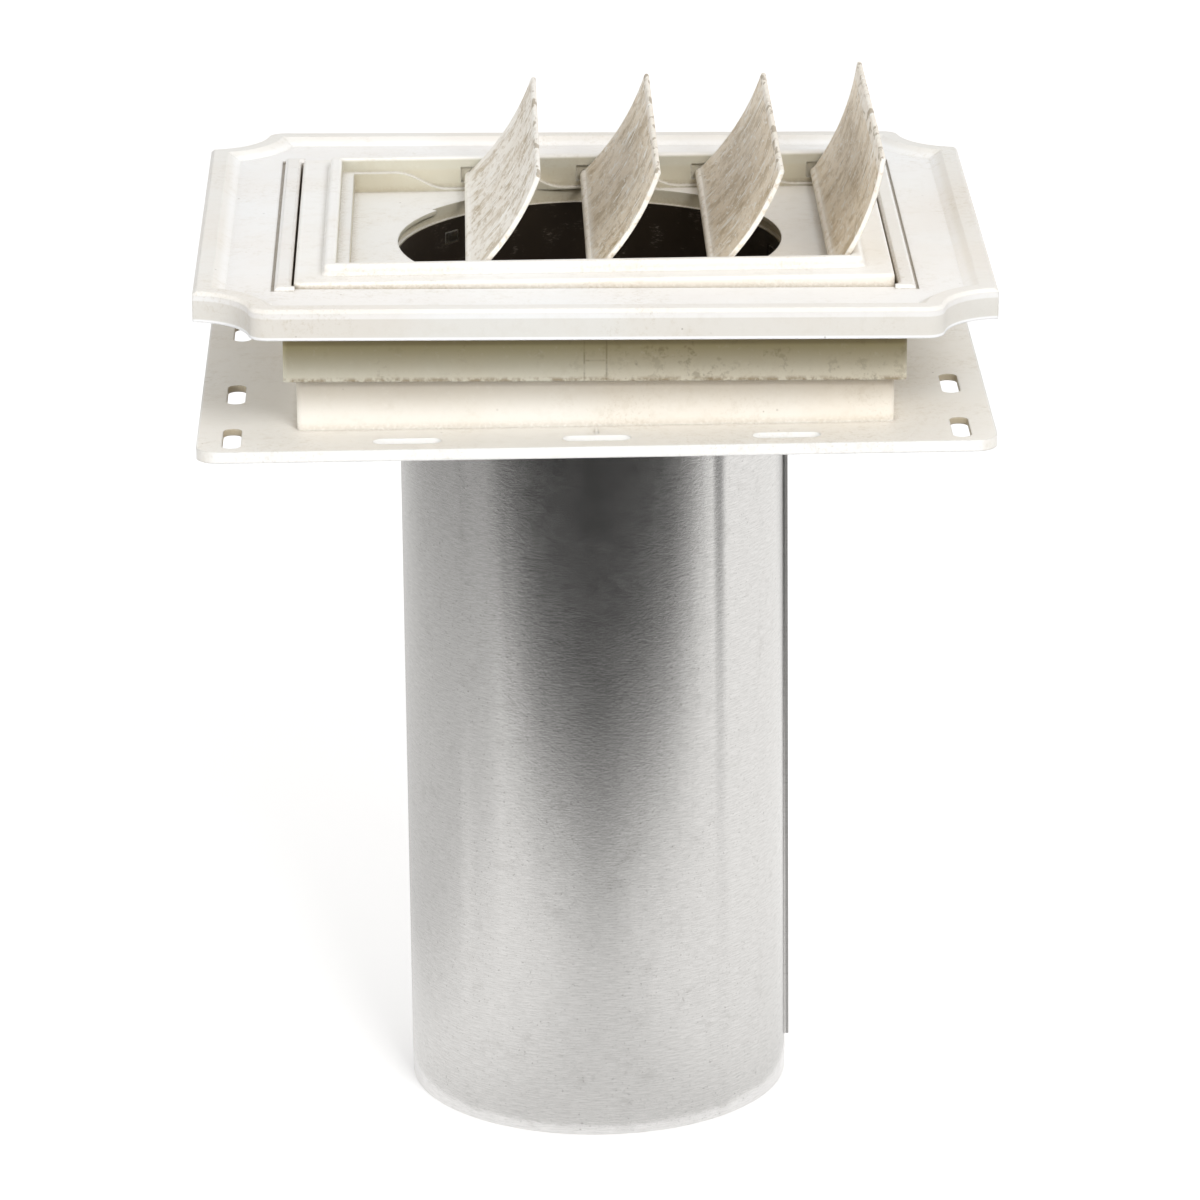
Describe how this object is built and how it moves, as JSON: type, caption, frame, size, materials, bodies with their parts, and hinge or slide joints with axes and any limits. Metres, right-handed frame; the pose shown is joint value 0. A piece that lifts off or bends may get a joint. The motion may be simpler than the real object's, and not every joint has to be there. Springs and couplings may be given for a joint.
{
  "type": "louvred exhaust vent",
  "caption": "Louvred plastic exhaust vent for a clad wall, with a nailing flange, a clip-fit trim ring, swinging blades and a rolled aluminium tail pipe.",
  "frame": {"origin": "on the duct axis, in the plane of the back of the flange", "axes": "+Z out of the vent's face, +X up the wall when fitted, Y along the louvres"},
  "size_m": [0.2053, 0.1808, 0.2699],
  "materials": {
    "housing_plastic": "aged moulded plastic, satin",
    "ring_plastic": "aged moulded plastic, satin, dusty",
    "louvre_plastic": "aged moulded plastic, dust-stained inside",
    "pipe_aluminium": "rolled sheet, brushed round the pipe"
  },
  "bodies": {
    "vent": {"base_housing": "housing_plastic", "trim_ring": "ring_plastic", "tail_pipe": "pipe_aluminium"},
    "louvre_1": {"louvre_1": "louvre_plastic"},
    "louvre_2": {"louvre_2": "louvre_plastic"},
    "louvre_3": {"louvre_3": "louvre_plastic"},
    "louvre_4": {"louvre_4": "louvre_plastic"}
  },
  "joints": [
    {"name": "louvre_1_hinge", "type": "hinge", "parent": "vent", "child": "louvre_1", "pos_m": [-0.0313, 0, 0.0395], "axis": [0, -1, 0], "range_deg": [0, 117.9]},
    {"name": "louvre_2_hinge", "type": "hinge", "parent": "vent", "child": "louvre_2", "pos_m": [0.0001, 0, 0.0395], "axis": [0, -1, 0], "range_deg": [0, 116.51]},
    {"name": "louvre_3_hinge", "type": "hinge", "parent": "vent", "child": "louvre_3", "pos_m": [0.0315, 0, 0.0395], "axis": [0, -1, 0], "range_deg": [0, 117.11]},
    {"name": "louvre_4_hinge", "type": "hinge", "parent": "vent", "child": "louvre_4", "pos_m": [0.0629, 0, 0.0395], "axis": [0, -1, 0], "range_deg": [0, 106.41]}
  ],
  "couplings": [
    {"joint": "louvre_2_hinge", "follows": "louvre_1_hinge", "ratio": 0.98813},
    {"joint": "louvre_3_hinge", "follows": "louvre_1_hinge", "ratio": 0.99321},
    {"joint": "louvre_4_hinge", "follows": "louvre_1_hinge", "ratio": 0.90246}
  ]
}
